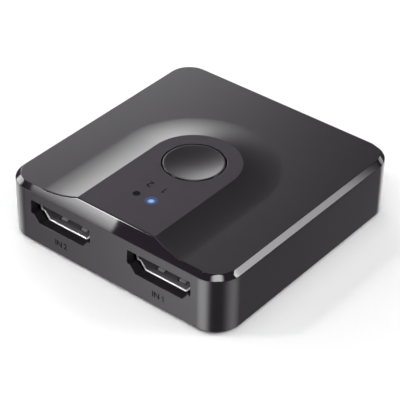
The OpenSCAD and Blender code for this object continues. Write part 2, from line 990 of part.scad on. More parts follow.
module key_cover() {
    color("#c2c4c6")
        at_key() {
            difference() {
                block_at([0, 0], [key_w, key_w], key_h - key_cover_t, key_h);
                translate([0, 0, key_h - key_cover_t - spare])
                    cylinder(d = plunger_d + 2 * close_fit, h = key_cover_t + 2 * spare);
                at_rivets()
                    translate([0, 0, key_h - key_cover_t - spare])
                        cylinder(d = rivet_d + 2 * close_fit, h = key_cover_t + 2 * spare);
            }
            for (s = sides)
                block_at(
                    [0, s * (key_w + key_cover_t) / 2], [clip_w, key_cover_t],
                    key_h - clip_h, key_h
                );
        }
}

module key_plunger() {
    color("#3a3a3c")
        at_key() {
            cylinder_between(plunger_d, plunger_flange_z - sink, key_reach);
            cylinder_between(well_d - 2 * plunger_gap, plunger_low, plunger_flange_z);
            cylinder_between(nub_d, key_floor + dome_h + touch_play, plunger_low + sink);
        }
}

module key_dome() {
    color("#b4b6b8")
        at_key()
            intersection() {
                translate([0, 0, key_floor + dome_h - dome_r])
                    difference() {
                        sphere(r = dome_r);
                        sphere(r = dome_r - dome_t);
                    }
                cylinder_between(2 * well_d, key_floor, key_floor + 2 * dome_h);
            }
}

module key_terminals() {
    color("#bfc1c3")
        at_key()
            for (c = corners) {
                place_y = c.y * (key_w / 2 - terminal_w);
                block_at(
                    [c.x * (key_w + terminal_t) / 2, place_y], [terminal_t, terminal_w], 0, terminal_h
                );
                block_at(
                    [c.x * (key_w + terminal_l) / 2, place_y], [terminal_l, terminal_w],
                    0, terminal_t
                );
            }
}

// Small parts on the board

module at_board(place) {
    translate([place.x, place.y, board_z])
        children();
}

module switch_chip() {
    color("#1a1a1b")
        at_board(chip_place)
            block_at([0, 0], [chip_w, chip_w], 0, chip_t);
}

module switch_chip_pads() {
    color("#c9cbcd")
        at_board(chip_place)
            for (a = [0, 90, 180, 270], i = [0 : chip_pads - 1])
                rotate([0, 0, a])
                    block_at(
                        [(chip_w + chip_pad) / 2, (i - (chip_pads - 1) / 2) * chip_pad_pitch],
                        [chip_pad, chip_pad], 0, chip_pad
                    );
}

// Row of bent leads along the side of a body of width w, from its middle height down to the board
module lead_row(n, pitch, w, middle) {
    for (i = [0 : n - 1])
        translate([(i - (n - 1) / 2) * pitch - lead_w / 2, w / 2, 0])
            rotate([90, 0, 90])
                linear_extrude(lead_w)
                    polygon([
                        [0, middle], [0, middle + lead_t], [lead_run / 2, middle + lead_t],
                        [lead_run / 2, lead_t], [lead_run, lead_t], [lead_run, 0],
                        [lead_run / 2 - lead_t, 0], [lead_run / 2 - lead_t, middle]
                    ]);
}

module control_chip() {
    color("#1c1c1d")
        at_board(control_place)
            block_at([0, 0], [control_l, control_w], chip_seat, control_t);
}

module control_chip_leads() {
    color("#c4c6c8")
        at_board(control_place)
            for (a = [0, 180])
                rotate([0, 0, a])
                    lead_row(4, lead_pitch, control_w, control_t / 2);
}

module regulator() {
    color("#1c1c1d")
        at_board(regulator_place)
            block_at([0, 0], [regulator_l, regulator_w], chip_seat, regulator_t);
}

module regulator_leads() {
    color("#c4c6c8")
        at_board(regulator_place) {
            rotate([0, 0, 180])
                lead_row(3, regulator_pitch, regulator_w, regulator_t / 2);
            block_at([0, (regulator_w + lead_run) / 2], [regulator_tab, lead_run], 0, lead_t);
            block_at([0, (regulator_w + lead_t) / 2], [regulator_tab, lead_t], 0, regulator_t / 2);
        }
}

module port_arrays() {
    for (s = sides)
        block_at(
            [s * array_pitch / 2, tail_end + array_back], [array_l, array_w],
            port_board, port_board + array_t
        );
}

module surge_arrays() {
    color("#232325") {
        for (s = sides)
            at_input(s)
                port_arrays();
        at_output()
            port_arrays();
    }
}

module capacitors() {
    color("#a98c66") {
        at_board(chip_place)
            for (a = [0, 90, 180, 270], s = sides)
                rotate([0, 0, a])
                    block_at(
                        [chip_w / 2 + cap_gap + cap_w / 2, s * cap_span / 2], [cap_w, cap_l], 0, cap_t
                    );
        at_board(regulator_place)
            for (s = sides)
                block_at(
                    [s * (regulator_l / 2 + bulk_gap + bulk_w / 2), 0], [bulk_w, bulk_l], 0, bulk_t
                );
    }
}

module resistors() {
    color("#2a2a2d") {
        at_board([0, light_y + (lamp_l + res_l) / 2 + res_gap])
            for (s = sides)
                block_at([s * light_pitch / 2, 0], [res_w, res_l], 0, res_t);
        at_board(control_place)
            for (i = [-1 : 1])
                block_at(
                    [i * res_pitch, -control_w / 2 - lead_run - res_gap - res_l / 2],
                    [res_w, res_l], 0, res_t
                );
    }
}

upper_housing();
bottom_cover();
cover_screws();
rubber_feet();
push_button();
light_pipe_1();
light_pipe_2();
lamp_1();
lamp_2();
input_1_shell();
input_1_insulator();
input_1_contacts();
input_2_shell();
input_2_insulator();
input_2_contacts();
output_shell();
output_insulator();
output_contacts();
circuit_board();
board_screws();
key_base();
key_cover();
key_plunger();
key_dome();
key_terminals();
switch_chip();
switch_chip_pads();
control_chip();
control_chip_leads();
regulator();
regulator_leads();
surge_arrays();
capacitors();
resistors();
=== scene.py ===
# %% [markdown]
# # A two-input video switch box
# The CAD model gives every piece its shape and place. This lesson dresses it in Blender: it rounds the
# moulded edges, turns the round pieces, gives each material the surface that its making leaves, and lights
# the box like a product photograph. All lengths are metres, in the frame of the CAD model.

import math

import bmesh
import bpy
from mathutils import Matrix, Vector


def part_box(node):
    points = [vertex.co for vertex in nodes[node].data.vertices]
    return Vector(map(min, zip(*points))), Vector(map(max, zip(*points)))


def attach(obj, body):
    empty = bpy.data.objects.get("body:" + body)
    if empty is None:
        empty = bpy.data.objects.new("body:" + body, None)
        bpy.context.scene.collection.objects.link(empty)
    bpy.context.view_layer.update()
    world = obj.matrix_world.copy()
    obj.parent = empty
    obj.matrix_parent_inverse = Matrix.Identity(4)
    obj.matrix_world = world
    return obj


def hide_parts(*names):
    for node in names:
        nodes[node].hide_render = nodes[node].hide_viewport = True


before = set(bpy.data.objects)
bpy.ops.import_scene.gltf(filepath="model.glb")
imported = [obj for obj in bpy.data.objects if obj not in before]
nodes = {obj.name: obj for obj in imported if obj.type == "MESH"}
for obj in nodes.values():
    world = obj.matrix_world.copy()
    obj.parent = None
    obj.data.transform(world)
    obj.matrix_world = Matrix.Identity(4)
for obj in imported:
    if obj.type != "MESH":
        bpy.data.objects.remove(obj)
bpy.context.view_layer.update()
MM = 0.001

# Sizes in mm, as the CAD model has them.
WALL_X, WALL_Y = 28, 28.8
TOP_Z, BEVEL_Z, PAD_Z = 14.2, 13.1, 15.35
BUTTON_Y = -2.55
PIPE_X, PIPE_Y = 1.88, -18.1
PORT_X, PORT_Z, PORT_W, PORT_H = 12.7, 8.6, 14.0, 4.55
NEAR = 0.01
MERGE = 0.0001

# %% [markdown]
# The camera comes first, because each later choice is compared with the photograph through it. The view was
# solved from the corners of the housing and the two port openings, which gives a turn round the box, a height
# above the floor, a distance and a slight roll. A long lens from about a third of a metre keeps the sides
# nearly parallel.

# %% Camera
IMAGE_PX = 400
FOCAL_PX = 1689.12
DISTANCE = 345.647 * MM
SHIFT_PX = (1.774, -16.858)
turn, height, roll = (math.radians(a) for a in (38.646, 36.053, 0.799))
looked_at = Vector((0, 0, 8.8 * MM))

towards = Vector((math.sin(turn) * math.cos(height), -math.cos(turn) * math.cos(height), math.sin(height)))
level = Vector((math.cos(turn), math.sin(turn), 0))
upright = towards.cross(level)
cam_x = level * math.cos(roll) + upright * math.sin(roll)
cam_y = upright * math.cos(roll) - level * math.sin(roll)
px = DISTANCE / FOCAL_PX
eye = looked_at + towards * DISTANCE - cam_x * SHIFT_PX[0] * px + cam_y * SHIFT_PX[1] * px

bpy.ops.object.select_all(action="DESELECT")
bpy.ops.object.camera_add()
camera = bpy.context.object
camera.matrix_world = Matrix.Translation(eye) @ Matrix((cam_x, cam_y, towards)).transposed().to_4x4()
camera.data.sensor_width = 36
camera.data.lens = camera.data.sensor_width * FOCAL_PX / IMAGE_PX
camera.data.clip_start = 0.01
bpy.context.scene.camera = camera
print("camera at", [round(v / MM, 1) for v in eye], "mm, lens", round(camera.data.lens, 1), "mm")

# %% [markdown]
# ## Finishes
# Every finish starts from what the real material is. Colours are written as sRGB hex values, as a colour picker
# shows them, and one function turns them into the linear numbers that the shaders take. One small function adds
# a node, sets it and links it, so that a finish reads as a list of its nodes.

# %% Tools for finishes
def linear(colour):
    """The linear colour of an sRGB hex value."""
    channels = [int(colour[i:i + 2], 16) / 255 for i in (1, 3, 5)]
    return [c / 12.92 if c <= 0.04045 else ((c + 0.055) / 1.055) ** 2.4 for c in channels] + [1]


def add(tree, kind, inputs, **settings):
    """Adds a node: settings are its own options, inputs are numbers, colours or the sockets to link."""
    node = tree.nodes.new(kind)
    for name, value in settings.items():
        setattr(node, name, value)
    for name, value in inputs.items():
        if isinstance(value, bpy.types.NodeSocket):
            tree.links.new(value, node.inputs[name])
        else:
            node.inputs[name].default_value = value
    return node


def new_finish(name, colour, **values):
    """A material with its plain values set on the shader, and the Object coordinates that patterns read."""
    material = bpy.data.materials.new(name)
    material.use_nodes = True
    tree = material.node_tree
    shader = tree.nodes["Principled BSDF"]
    shader.inputs["Base Color"].default_value = linear(colour)
    for socket, value in values.items():
        shader.inputs[socket.replace("_", " ")].default_value = value
    place = add(tree, "ShaderNodeTexCoord", {}).outputs["Object"]
    return material, tree, shader, place


def per(size_mm):
    """The scale that makes one feature of a pattern this many millimetres long."""
    return 1 / (size_mm * MM)


# %% [markdown]
# ### Black ABS, moulded in a spark-eroded mould
# The housing is black ABS. Its mould was finely spark-eroded, so the walls and the top are satin: they blur what
# they reflect, but still show it. The button comes from a slightly coarser mould, and the pad has a soft-touch
# coat that reflects less and scatters more. A soft mottle of 5 mm keeps the black from looking printed. The grain
# of the real mould is about 0.05 mm, too fine for this picture, so it is drawn at 0.18 mm and very shallow.
# The blue glow on the pad is painted light: round the lit pipe the plastic itself emits a little blue, fading out
# within 1.7 mm of the pipe's middle, for the light that spreads from the pipe.

# %% Satin ABS
LIT_PIPE = Vector((PIPE_X, PIPE_Y, PAD_Z)) * MM
SATINS = {
    "abs_satin_black": ("#1b161c", "#221d23", 0.29, 0.35, 0.5),
    "abs_satin_button": ("#1b161c", "#221d23", 0.36, 0.42, 0.5),
    "abs_soft_matt": ("#2f2a31", "#353037", 0.48, 0.54, 0.12),
}
satins = {}
for name, (darkest, palest, glossiest, dullest, shine) in SATINS.items():
    satins[name], tree, shader, place = new_finish(name, darkest, IOR=1.5, Specular_IOR_Level=shine)
    mottle = add(tree, "ShaderNodeTexNoise", {"Vector": place, "Scale": per(5), "Detail": 3})
    shade = add(tree, "ShaderNodeMix", {
        "Factor": mottle.outputs["Fac"], "A": linear(darkest), "B": linear(palest),
    }, data_type="RGBA")
    tree.links.new(shade.outputs["Result"], shader.inputs["Base Color"])
    grain = add(tree, "ShaderNodeTexNoise", {"Vector": place, "Scale": per(0.18), "Detail": 2})
    gloss = add(tree, "ShaderNodeMapRange", {"Value": grain.outputs["Fac"], "To Min": glossiest, "To Max": dullest})
    tree.links.new(gloss.outputs["Result"], shader.inputs["Roughness"])
    relief = add(tree, "ShaderNodeBump", {"Height": grain.outputs["Fac"], "Strength": 0.35, "Distance": 0.004 * MM})
    tree.links.new(relief.outputs["Normal"], shader.inputs["Normal"])
    # Painted glow: the plastic emits blue near the lit pipe, fading out by 1.7 mm from its middle.
    away = add(tree, "ShaderNodeVectorMath", {0: place, 1: LIT_PIPE}, operation="DISTANCE")
    glow = add(tree, "ShaderNodeMapRange", {
        "Value": away.outputs["Value"], "From Min": 0.6 * MM, "From Max": 1.7 * MM, "To Min": 0.4, "To Max": 0,
    }, interpolation_type="SMOOTHERSTEP")
    tree.links.new(glow.outputs["Result"], shader.inputs["Emission Strength"])
    shader.inputs["Emission Color"].default_value = linear("#3f62c8")
satin, satin_button, soft_matt = satins.values()
print("made", list(satins))

# %% [markdown]
# ### The same ABS, polished
# The bevel along the top edge is cut bright in the mould: the plastic is the same, but the steel was polished, so
# it mirrors the lamps with sharp edges. Only its roughness differs, with faint polishing marks.

# %% Polished ABS
polished, tree, shader, place = new_finish("abs_polished_black", "#1c151d", Roughness=0.02, IOR=1.5)
marks = add(tree, "ShaderNodeTexNoise", {"Vector": place, "Scale": per(1.5), "Detail": 4})
gloss = add(tree, "ShaderNodeMapRange", {"Value": marks.outputs["Fac"], "To Min": 0.012, "To Max": 0.03})
tree.links.new(gloss.outputs["Result"], shader.inputs["Roughness"])
print("made", polished.name)

# %% [markdown]
# ### Textured ABS under the box
# The bottom cover comes from a coarser mould that hides scratches, so it is duller than the housing.

# %% Textured ABS
textured, tree, shader, place = new_finish("abs_textured_black", "#1a181b", Roughness=0.55, IOR=1.5)
pits = add(tree, "ShaderNodeTexVoronoi", {"Vector": place, "Scale": per(0.35)})
gloss = add(tree, "ShaderNodeMapRange", {"Value": pits.outputs["Distance"], "To Min": 0.45, "To Max": 0.65})
tree.links.new(gloss.outputs["Result"], shader.inputs["Roughness"])
relief = add(tree, "ShaderNodeBump", {"Height": pits.outputs["Distance"], "Strength": 0.6, "Distance": 0.02 * MM})
tree.links.new(relief.outputs["Normal"], shader.inputs["Normal"])
print("made", textured.name)

# %% [markdown]
# ### Black silicone rubber
# The feet are silicone: dark, dull and dusty, with almost no reflection except at a flat angle.

# %% Rubber
rubber, tree, shader, place = new_finish("silicone_rubber_black", "#161517", Roughness=0.7, IOR=1.41)
dust = add(tree, "ShaderNodeTexNoise", {"Vector": place, "Scale": per(1.2), "Detail": 5, "Roughness": 0.7})
shade = add(tree, "ShaderNodeMix", {
    "Factor": dust.outputs["Fac"], "A": linear("#121113"), "B": linear("#242326"),
}, data_type="RGBA")
tree.links.new(shade.outputs["Result"], shader.inputs["Base Color"])
relief = add(tree, "ShaderNodeBump", {"Height": dust.outputs["Fac"], "Strength": 0.4, "Distance": 0.02 * MM})
tree.links.new(relief.outputs["Normal"], shader.inputs["Normal"])
print("made", rubber.name)

# %% [markdown]
# ### Clear acrylic light pipes
# A light pipe is clear acrylic with a ground end. Lit from below by a blue lamp, its end glows pale blue, brightest
# in the middle. Unlit, one looks down a dark hole through it, so the unlit pipe is painted shade: opaque and near
# black, with almost no reflection.

# %% Acrylic, lit and dark
lit, tree, shader, place = new_finish("acrylic_lit_blue", "#1a2c40", Roughness=0.5, IOR=1.49)
off_axis = add(tree, "ShaderNodeVectorMath", {0: place, 1: LIT_PIPE}, operation="DISTANCE")
core = add(tree, "ShaderNodeMapRange", {
    "Value": off_axis.outputs["Value"], "From Min": 0.1 * MM, "From Max": 0.72 * MM,
})
hue = add(tree, "ShaderNodeMix", {
    "Factor": core.outputs["Result"], "A": linear("#a4d8e6"), "B": linear("#5a90d4"),
}, data_type="RGBA")
tree.links.new(hue.outputs["Result"], shader.inputs["Emission Color"])
shader.inputs["Emission Strength"].default_value = 0.8
# Painted shade: the unlit pipe is an opaque near-black, for the dark hole seen down through it.
dark, tree, shader, place = new_finish("acrylic_dark", "#0c0a0d", Roughness=0.5, IOR=1.49)
shader.inputs["Specular IOR Level"].default_value = 0.05
ground = add(tree, "ShaderNodeTexNoise", {"Vector": place, "Scale": per(0.15), "Detail": 2})
relief = add(tree, "ShaderNodeBump", {"Height": ground.outputs["Fac"], "Strength": 0.3, "Distance": 0.005 * MM})
tree.links.new(relief.outputs["Normal"], shader.inputs["Normal"])
print("made", lit.name, dark.name)

# %% [markdown]
# ### Metals
# The receptacles' shells are steel with a thin tin plating, rolled and stamped, so they carry faint drawing lines
# along their length. The rims and spring fingers are paler than the dull inside: partly the burnish and scuffs that
# plugs leave, and partly a painted highlight for the light that they catch. The contacts are bronze with a thin gold
# plating. The key's cover and dome are stainless steel, the soldered leads are dull tin, and the screws are steel,
# blackened below and zinc-plated inside.
# A metal keeps the default IOR, and its colour is its reflection.

# %% Metals
METALS = {
    "tin_plated_steel": ("#a9a4ab", 0.72, 2.0),
    # The paler tin of the rims and fingers is partly wear and partly a painted highlight.
    "burnished_highlit_tin": ("#e8e7e9", 0.36, 2.0),
    "scuffed_highlit_tin": ("#ececee", 0.76, 2.0),
    "gold_plated_bronze": ("#c9b078", 0.34, 1.0),
    "stainless_steel": ("#c4c4c5", 0.3, 1.5),
    "dull_tin": ("#b9babc", 0.45, 0.6),
    "blackened_steel": ("#4a4a4d", 0.38, 0.8),
    "zinc_plated_steel": ("#c3c5c9", 0.33, 0.9),
}
metals = {}
for name, (colour, rough, line_mm) in METALS.items():
    metals[name], tree, shader, place = new_finish(name, colour, Metallic=1.0, Roughness=rough)
    stretched = add(tree, "ShaderNodeMapping", {"Vector": place, "Scale": (per(0.12), per(line_mm), per(0.12))})
    lines = add(tree, "ShaderNodeTexNoise", {"Vector": stretched.outputs["Vector"], "Scale": 1.0, "Detail": 3})
    gloss = add(tree, "ShaderNodeMapRange", {
        "Value": lines.outputs["Fac"], "To Min": rough - 0.08, "To Max": rough + 0.08,
    })
    tree.links.new(gloss.outputs["Result"], shader.inputs["Roughness"])
    relief = add(tree, "ShaderNodeBump", {"Height": lines.outputs["Fac"], "Strength": 0.2, "Distance": 0.004 * MM})
    tree.links.new(relief.outputs["Normal"], shader.inputs["Normal"])
print("made", list(metals))

# %% [markdown]
# ### Board and small parts
# The board is glass-fibre laminate under black solder mask, where the weave shows as a faint grid of 0.5 mm. The
# chips are moulded epoxy, fine and dull. Insulators are grey moulded plastic. Ceramic capacitors are tan,
# resistors are black glaze, and the lamps have a clear yellowish lens.

# %% Board and small parts
board, tree, shader, place = new_finish("solder_mask_black", "#151a17", Roughness=0.35, IOR=1.5)
weave = add(tree, "ShaderNodeTexBrick", {
    "Vector": place, "Scale": per(1), "Color1": linear("#151a17"), "Color2": linear("#1a201d"),
    "Mortar": linear("#101412"), "Mortar Size": 0.06, "Brick Width": 0.5, "Row Height": 0.5,
})
tree.links.new(weave.outputs["Color"], shader.inputs["Base Color"])
SMALL = {
    "moulded_epoxy": ("#1d1d1f", 0.6, 0.1),
    "moulded_insulator": ("#8c8c8e", 0.42, 0.2),
    "moulded_key_body": ("#262527", 0.45, 0.2),
    "capacitor_ceramic": ("#a58a66", 0.5, 0.3),
    "resistor_glaze": ("#202024", 0.25, 0.3),
    "lamp_lens": ("#d9d4b0", 0.2, 0.4),
}
small = {}
for name, (colour, rough, grit_mm) in SMALL.items():
    small[name], tree, shader, place = new_finish(name, colour, Roughness=rough, IOR=1.5)
    grit = add(tree, "ShaderNodeTexNoise", {"Vector": place, "Scale": per(grit_mm), "Detail": 3})
    tint = add(tree, "ShaderNodeMix", {
        "Factor": grit.outputs["Fac"], "A": [0.85 * c for c in linear(colour)[:3]] + [1],
        "B": [1.15 * c for c in linear(colour)[:3]] + [1],
    }, data_type="RGBA")
    tree.links.new(tint.outputs["Result"], shader.inputs["Base Color"])
    relief = add(tree, "ShaderNodeBump", {"Height": grit.outputs["Fac"], "Strength": 0.4, "Distance": 0.008 * MM})
    tree.links.new(relief.outputs["Normal"], shader.inputs["Normal"])
print("made", board.name, list(small))

# %% [markdown]
# ### Printing ink
# The markings are pad-printed in black ink, darker and a little duller than the plastic that they lie on.

# %% Ink
ink, tree, shader, place = new_finish("printing_ink_black", "#0c0b0d", Roughness=0.7, IOR=1.4)
shader.inputs["Specular IOR Level"].default_value = 0.05
specks = add(tree, "ShaderNodeTexNoise", {"Vector": place, "Scale": per(0.1), "Detail": 2})
gloss = add(tree, "ShaderNodeMapRange", {"Value": specks.outputs["Fac"], "To Min": 0.65, "To Max": 0.8})
tree.links.new(gloss.outputs["Result"], shader.inputs["Roughness"])
print("made", ink.name)

# %% [markdown]
# ## Pieces
# A CAD node whose shape is right stays, and only gets a finish. Pieces whose edges the eye reads, such as the
# housing, are copied from their node, because the shape is already exact: the copy's loose triangles are merged
# into faces, and then its edges get the small radius that every moulded edge has.

# %% Tools for pieces
def alone(piece):
    """Makes a piece the only selected and the active object."""
    bpy.ops.object.select_all(action="DESELECT")
    piece.select_set(True)
    bpy.context.view_layer.objects.active = piece


def copy_of(node, name, flat_faces=True):
    """A new piece with a copy of a node's mesh, its loose corners merged, and its triangles too if asked."""
    piece = bpy.data.objects.new(name, nodes[node].data.copy())
    bpy.context.collection.objects.link(piece)
    alone(piece)
    bpy.ops.object.mode_set(mode="EDIT")
    bpy.ops.mesh.select_all(action="SELECT")
    bpy.ops.mesh.customdata_custom_splitnormals_clear()
    bpy.ops.mesh.remove_doubles(threshold=MERGE * MM)
    if flat_faces:
        bpy.ops.mesh.dissolve_limited(angle_limit=math.radians(0.05))
    bpy.ops.object.mode_set(mode="OBJECT")
    return piece


def choose_edges(piece, wanted, sharp_deg):
    """Selects, in edit mode, the edges sharper than an angle that the test of their two ends, in mm, accepts."""
    alone(piece)
    bpy.ops.object.mode_set(mode="EDIT")
    bpy.ops.mesh.select_mode(type="EDGE")
    bpy.ops.mesh.select_all(action="DESELECT")
    shape = bmesh.from_edit_mesh(piece.data)
    found = 0
    for edge in shape.edges:
        if len(edge.link_faces) == 2 and edge.calc_face_angle() > math.radians(sharp_deg):
            if wanted(edge.verts[0].co / MM, edge.verts[1].co / MM):
                edge.select_set(True)
                found += 1
    bmesh.update_edit_mesh(piece.data)
    return found


def round_edges(piece, wanted, radius_mm, sharp_deg, steps=5):
    """Gives the chosen edges a radius, and merges the corners that fall on each other."""
    found = choose_edges(piece, wanted, sharp_deg)
    if found:
        bpy.ops.mesh.bevel(offset=radius_mm * MM, segments=steps, affect="EDGES", clamp_overlap=False)
        bpy.ops.mesh.select_all(action="SELECT")
        bpy.ops.mesh.remove_doubles(threshold=MERGE * MM)
    bpy.ops.object.mode_set(mode="OBJECT")
    return found


def crease_edges(piece, wanted, sharp_deg):
    """Keeps the chosen edges crisp in the smooth shading."""
    found = choose_edges(piece, wanted, sharp_deg)
    bpy.ops.mesh.mark_sharp()
    bpy.ops.object.mode_set(mode="OBJECT")
    return found


def smooth(piece, sharp_deg=30):
    """Smooth shading that keeps flat faces flat and real edges sharp."""
    alone(piece)
    bpy.ops.object.shade_smooth_by_angle(angle=math.radians(sharp_deg))
    bpy.ops.object.modifier_add(type="WEIGHTED_NORMAL")
    piece.modifiers[-1].weight = 100
    piece.modifiers[-1].keep_sharp = True
    bpy.ops.object.modifier_apply(modifier=piece.modifiers[-1].name)


def put_on(piece, *materials):
    """Gives a piece its materials. Faces have the first until they are given another by its number."""
    piece.data.materials.clear()
    for material in materials:
        piece.data.materials.append(material)


def settle(piece, body, slot, *stood_for):
    """Attaches the piece to the body it rides on and hides the nodes it stands for. The slot is not used."""
    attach(piece, body)
    if stood_for:
        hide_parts(*stood_for)
    print("made", piece.name, "with", len(piece.data.polygons), "faces")


# %% [markdown]
# ### Housing
# The housing could be modelled from a cube with bevels and a Boolean for the raised pad, but the CAD node already
# holds that exact shape. Its copy only needs its edges rounded: a quarter of a millimetre along the front of the pad,
# where a thin bright line shows it, less at the ports, the bore and the crisp lines of the bevel, and more at the
# lower edge. The pad's outline is marked sharp, because the slope beside it starts at only 14 degrees, and smooth
# shading would blur that away. The bevel gets the polished finish, and the top of the pad the soft-touch one.

# %% Housing
EDGE_BAND = 3.4
PAD_FRONT_Y = -26
MOUTH_LOW, MOUTH_HIGH = 5, 10.9
BORE_REACH, PAD_REACH = 7.5, 9
LOWER_EDGE_Z = 0.8
POLISHED, SOFT_MATT = 1, 2
housing = copy_of("upper_housing", "housing")


def on_outside(v):
    return abs(v.x) > WALL_X - EDGE_BAND or abs(v.y) > WALL_Y - EDGE_BAND


def on_pad_front(a, b):
    rises = min(a.z, b.z) > TOP_Z - NEAR and max(a.z, b.z) > TOP_Z + NEAR
    return rises and max(a.y, b.y) < PAD_FRONT_Y


def on_bevel_lines(a, b):
    return min(a.z, b.z) > BEVEL_Z - 0.05 and on_outside(a) and on_outside(b) and not on_pad_front(a, b)


def on_mouths(a, b):
    return all(abs(abs(end.y) - WALL_Y) < NEAR and MOUTH_LOW < end.z < MOUTH_HIGH for end in (a, b))


def on_bore(a, b):
    return min(a.z, b.z) > PAD_Z - NEAR and Vector((a.x, a.y - BUTTON_Y)).length < BORE_REACH


def on_pad_line(a, b):
    return min(a.z, b.z) > PAD_Z - NEAR and Vector((a.x, max(a.y - BUTTON_Y, 0))).length > PAD_REACH


def on_lower_edge(a, b):
    return max(a.z, b.z) < LOWER_EDGE_Z + NEAR and on_outside(a) and on_outside(b)


print("mouths", round_edges(housing, on_mouths, 0.15, 30))
print("bore", round_edges(housing, on_bore, 0.07, 30))
print("front of the pad", round_edges(housing, on_pad_front, 0.25, 20, 8))
print("bevel", round_edges(housing, on_bevel_lines, 0.09, 20))
print("lower edge", round_edges(housing, on_lower_edge, 0.3, 30))
print("pad", crease_edges(housing, on_pad_line, 10))
put_on(housing, satin, polished, soft_matt)
for face in housing.data.polygons:
    centre = face.center / MM
    if 0.6 < face.normal.z < 0.8 and centre.z > BEVEL_Z - 0.1:
        face.material_index = POLISHED
    elif face.normal.z < 0.88 and centre.y < PAD_FRONT_Y - 0.2 and centre.z > TOP_Z + 0.1:
        face.material_index = POLISHED
    elif face.normal.z > 0.999 and centre.z > PAD_Z - 0.05:
        face.material_index = SOFT_MATT
smooth(housing, 20)
settle(housing, "case", "housing", "upper_housing")

# %% [markdown]
# ### Push button
# The button is round, so it is turned: its section is drawn point by point with extrusions, and Spin carries it
# round the axis. The dish is an arc, the lip a narrow matt flat with a polished, rounded edge, which draws a thin
# ring, and below are the skirt, the flange that keeps the button in, and the stem that meets the key.

# %% Turned pieces
def drawn(name, points):
    """A new piece, left in edit mode, with a line through points in mm: one point, extruded to each next one."""
    bpy.ops.object.select_all(action="DESELECT")
    bpy.ops.mesh.primitive_plane_add(size=MM, location=(0, 0, 0))
    piece = bpy.context.object
    piece.name = name
    bpy.ops.object.mode_set(mode="EDIT")
    bpy.ops.mesh.select_mode(type="VERT")
    bpy.ops.mesh.select_all(action="SELECT")
    bpy.ops.mesh.merge(type="CENTER")
    bpy.ops.transform.translate(value=Vector(points[0]) * MM)
    for here, there in zip(points, points[1:]):
        step = (Vector(there) - Vector(here)) * MM
        bpy.ops.mesh.extrude_region_move(TRANSFORM_OT_translate={"value": step})
    bpy.ops.mesh.select_all(action="SELECT")
    return piece


def turned(name, axis, section, steps=96):
    """A piece made by spinning a section of (radius, height) points, in mm, round an upright axis."""
    piece = drawn(name, [(r, 0, z) for r, z in section])
    bpy.ops.mesh.spin(steps=steps, angle=math.tau, center=(0, 0, 0), axis=(0, 0, 1))
    bpy.ops.mesh.select_all(action="SELECT")
    bpy.ops.mesh.remove_doubles(threshold=0.0005 * MM)
    bpy.ops.mesh.normals_make_consistent(inside=False)
    bpy.ops.transform.translate(value=(axis[0] * MM, axis[1] * MM, 0))
    bpy.ops.object.mode_set(mode="OBJECT")
    return piece


def arc(centre, radius, start, end, count):
    """Points of an arc in a section, from one angle to another, in degrees."""
    angles = [math.radians(start + (end - start) * i / count) for i in range(count + 1)]
    return [(centre[0] + radius * math.cos(a), centre[1] + radius * math.sin(a)) for a in angles]


# %% Push button
BUTTON_R, DISH_R, DISH_HALF, DISH_DEPTH, EDGE_R = 6.4, 23.28, 6.05, 0.8, 0.2
FLANGE_R, FLANGE_TOP, FLANGE_FOOT = 7.5, 11.96, 11.26
HOLLOW_R, HOLLOW_Z = 5.2, 13.55
STEM_R, STEM_FOOT = 1.5, 10.965
dish_edge = math.degrees(math.asin(DISH_HALF / DISH_R))
dish = arc((0, PAD_Z - DISH_DEPTH + DISH_R), DISH_R, -90, -90 + dish_edge, 24)
rim = arc((BUTTON_R - EDGE_R, PAD_Z - EDGE_R), EDGE_R, 90, 0, 8)
under = [
    (BUTTON_R, FLANGE_TOP), (FLANGE_R, FLANGE_TOP), (FLANGE_R, FLANGE_FOOT), (HOLLOW_R, FLANGE_FOOT),
    (HOLLOW_R, HOLLOW_Z), (STEM_R, HOLLOW_Z), (STEM_R, STEM_FOOT), (0, STEM_FOOT),
]
button = turned("button", (0, BUTTON_Y), dish + rim + under, 128)
put_on(button, satin_button, polished, soft_matt)
for face in button.data.polygons:
    outwards = (face.center.xy / MM - Vector((0, BUTTON_Y))).length
    if face.normal.z > 0.999 and outwards > DISH_HALF - 0.05:
        face.material_index = SOFT_MATT
    elif 0.05 < face.normal.z < 0.95 and outwards > BUTTON_R - EDGE_R:
        face.material_index = POLISHED
smooth(button)
settle(button, "button", "button", "push_button")

# %% [markdown]
# ### Light pipes
# Each pipe is turned as well: a slim shaft, a shoulder that stops it under the pad, and a visible end with a small
# rounded edge, which catches a fine ring of light.

# %% Light pipes
SHAFT_R, SHAFT_FOOT = 0.55, 6.775
SHOULDER_R, SHOULDER_FOOT, SHOULDER_TOP = 1.125, 12.55, 13.55
END_R, END_Z, END_EDGE = 0.725, 15.25, 0.1
pipe_section = [
    (0, SHAFT_FOOT), (SHAFT_R, SHAFT_FOOT), (SHAFT_R, SHOULDER_FOOT), (SHOULDER_R, SHOULDER_FOOT),
    (SHOULDER_R, SHOULDER_TOP), (END_R, SHOULDER_TOP),
    *arc((END_R - END_EDGE, END_Z - END_EDGE), END_EDGE, 0, 90, 4), (0, END_Z),
]
for name, node, side, material, slot in (
    ("pipe_lit", "light_pipe_1", 1, lit, "lit_pipe"), ("pipe_dark", "light_pipe_2", -1, dark, "dark_pipe"),
):
    pipe = turned(name, (side * PIPE_X, PIPE_Y), pipe_section, 48)
    put_on(pipe, material)
    smooth(pipe)
    settle(pipe, "case", slot, node)

# %% [markdown]
# ### Receptacles
# The shells are the only bright metal that shows. The rim's inner edge is flared to lead a plug in, which draws the
# white outline inside each opening, and its outer edge has a tiny radius. Everything behind stays as the CAD has it.
# Their triangles aren't merged: one face round an opening could close it when it is cut into triangles again.

